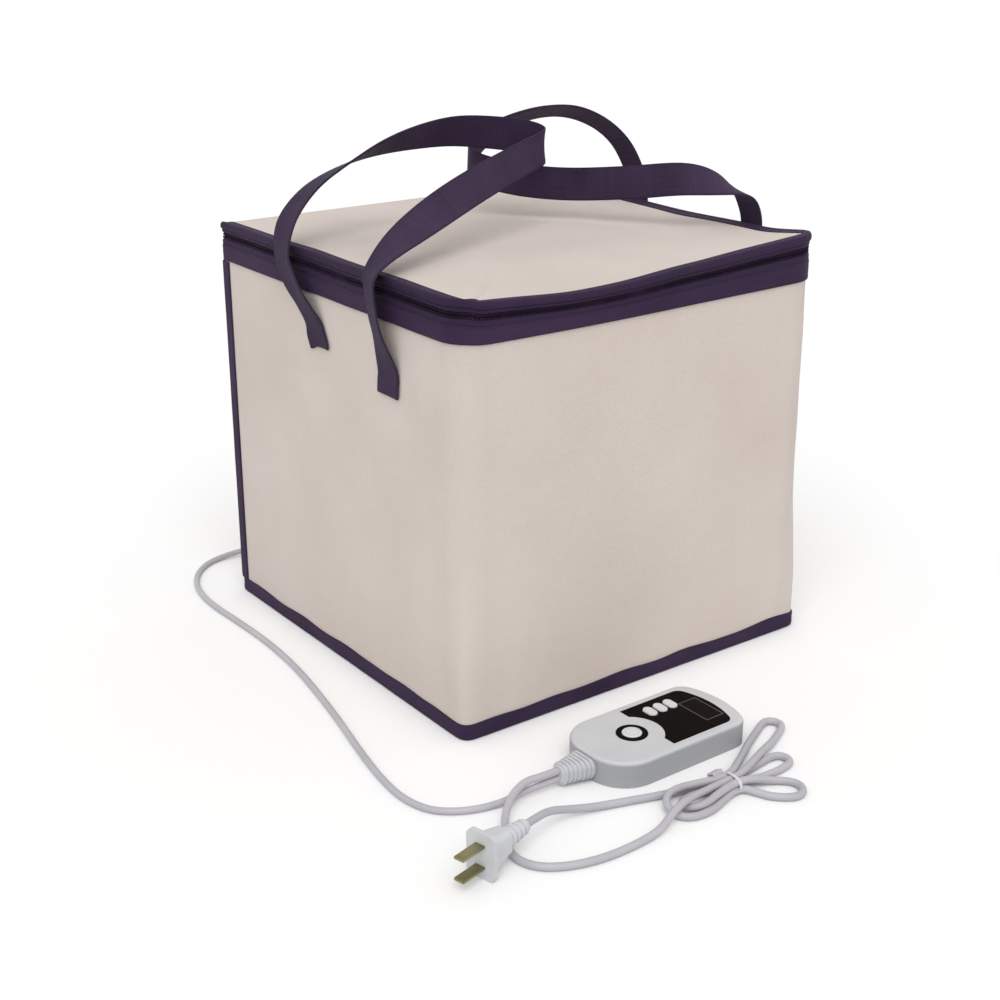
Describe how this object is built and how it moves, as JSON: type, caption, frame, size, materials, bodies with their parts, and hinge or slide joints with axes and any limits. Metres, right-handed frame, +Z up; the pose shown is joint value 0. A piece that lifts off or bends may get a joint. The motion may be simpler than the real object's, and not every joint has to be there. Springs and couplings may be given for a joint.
{
  "type": "folding dough proofer",
  "caption": "Soft insulated proofing box with a heated floor, zipped hinged lid, two strap handles and a table controller on its lead; the walls fold down.",
  "frame": {"origin": "bottom centre of the box, on the surface it stands on", "axes": "+Z up; -Y is the front, the controller's side; +Y the lid's hinge side; +X the side with the zip's slider"},
  "size_m": [0.3801, 0.5048, 0.3382],
  "materials": {
    "cream_cloth": "satin",
    "dark_webbing": "satin",
    "foam_board": "matte",
    "silver_lining": "satin",
    "stiff_board": "matte",
    "felt": "matte",
    "heater_foil": "satin",
    "heating_wire": "matte",
    "zip_teeth": "satin",
    "zip_metal": "satin",
    "pale_plastic": "satin",
    "black_gloss": "gloss",
    "display_window": "gloss",
    "display_module": "satin",
    "button_grey": "satin",
    "circuit_board": "satin",
    "components": "satin",
    "screw_steel": "satin",
    "white_cord": "satin",
    "white_plastic": "satin",
    "plug_plastic": "satin",
    "brass": "polished",
    "probe_steel": "satin"
  },
  "bodies": {
    "base": {"base_cloth": "cream_cloth", "base_board": "stiff_board", "base_foam": "foam_board", "base_lining": "silver_lining", "heater_felt": "felt", "heater_foil": "heater_foil", "heating_wire": "heating_wire", "thermal_cutoff": "white_plastic", "mat_terminal_block": "white_plastic", "temperature_probe": "probe_steel", "bottom_binding": "dark_webbing", "wall_cloth": "cream_cloth", "rear_cloth": "cream_cloth", "corner_bindings": "dark_webbing", "front_foam": "foam_board", "left_foam": "foam_board", "right_foam": "foam_board", "rear_foam": "foam_board", "wall_lining": "silver_lining", "cord_gland": "white_plastic", "controller_bottom": "pale_plastic", "controller_top": "pale_plastic", "controller_fascia": "black_gloss", "display_window": "display_window", "display_module": "display_module", "power_ring": "black_gloss", "circuit_board": "circuit_board", "board_components": "components", "button_switches": "components", "case_screws": "screw_steel", "controller_relief": "pale_plastic", "heater_cord": "white_cord", "mains_cord_controller_side": "white_cord", "mains_cord_plug_side": "white_cord", "mains_hank": "white_cord", "hank_tie": "white_plastic", "plug_relief": "white_cord", "plug_body": "plug_plastic", "plug_blades": "brass"},
    "rim": {"rim_band": "dark_webbing", "lower_zip_tape": "dark_webbing", "lower_zip_coil": "zip_teeth", "hinge_strip": "dark_webbing", "left_strap_ends": "dark_webbing", "right_strap_ends": "dark_webbing"},
    "lid": {"lid_lining": "silver_lining", "lid_foam": "foam_board", "lid_cloth": "cream_cloth", "lid_piping": "dark_webbing", "upper_zip_tape": "dark_webbing", "upper_zip_coil": "zip_teeth"},
    "zip_slider": {"zip_slider": "zip_metal"},
    "zip_pull": {"zip_pull": "zip_metal"},
    "handle_left": {"left_strap_loop": "dark_webbing"},
    "handle_right": {"right_strap_loop": "dark_webbing"},
    "power_button": {"power_button": "button_grey"},
    "lower_button": {"lower_button": "button_grey"},
    "raise_button": {"raise_button": "button_grey"},
    "timer_button": {"timer_button": "button_grey"}
  },
  "joints": [
    {"name": "rim_collapse", "type": "slide", "parent": "base", "child": "rim", "axis": [0, 0, 1], "range_m": [-0.185, 0], "deforming": ["wall_cloth", "rear_cloth", "corner_bindings", "front_foam", "left_foam", "right_foam", "rear_foam", "wall_lining"]},
    {"name": "lid_hinge", "type": "hinge", "parent": "rim", "child": "lid", "pos_m": [0, 0.141, 0.2683], "axis": [-1, 0, 0], "range_deg": [0, 235], "deforming": ["left_strap_loop", "right_strap_loop"]},
    {"name": "handle_left_swing", "type": "hinge", "parent": "rim", "child": "handle_left", "pos_m": [-0.1482, 0, 0.262], "axis": [0, -1, 0], "range_deg": [0, 150]},
    {"name": "handle_right_swing", "type": "hinge", "parent": "rim", "child": "handle_right", "pos_m": [0.1482, 0, 0.262], "axis": [0, 1, 0], "range_deg": [0, 150]},
    {"name": "zip_slider_run", "type": "slide", "parent": "rim", "child": "zip_slider", "axis": [0, -1, 0], "range_m": [0, 0.17]},
    {"name": "zip_pull_swing", "type": "hinge", "parent": "zip_slider", "child": "zip_pull", "pos_m": [0.1454, 0.125, 0.262], "axis": [0, -1, 0], "range_deg": [0, 120]},
    {"name": "power_button_press", "type": "slide", "parent": "base", "child": "power_button", "axis": [0, 0, -1], "range_m": [0, 0.0008], "stiffness_N_per_m": 600, "springref_m": -0.0006},
    {"name": "lower_button_press", "type": "slide", "parent": "base", "child": "lower_button", "axis": [0, 0, -1], "range_m": [0, 0.0008], "stiffness_N_per_m": 600, "springref_m": -0.0006},
    {"name": "raise_button_press", "type": "slide", "parent": "base", "child": "raise_button", "axis": [0, 0, -1], "range_m": [0, 0.0008], "stiffness_N_per_m": 600, "springref_m": -0.0006},
    {"name": "timer_button_press", "type": "slide", "parent": "base", "child": "timer_button", "axis": [0, 0, -1], "range_m": [0, 0.0008], "stiffness_N_per_m": 600, "springref_m": -0.0006}
  ]
}
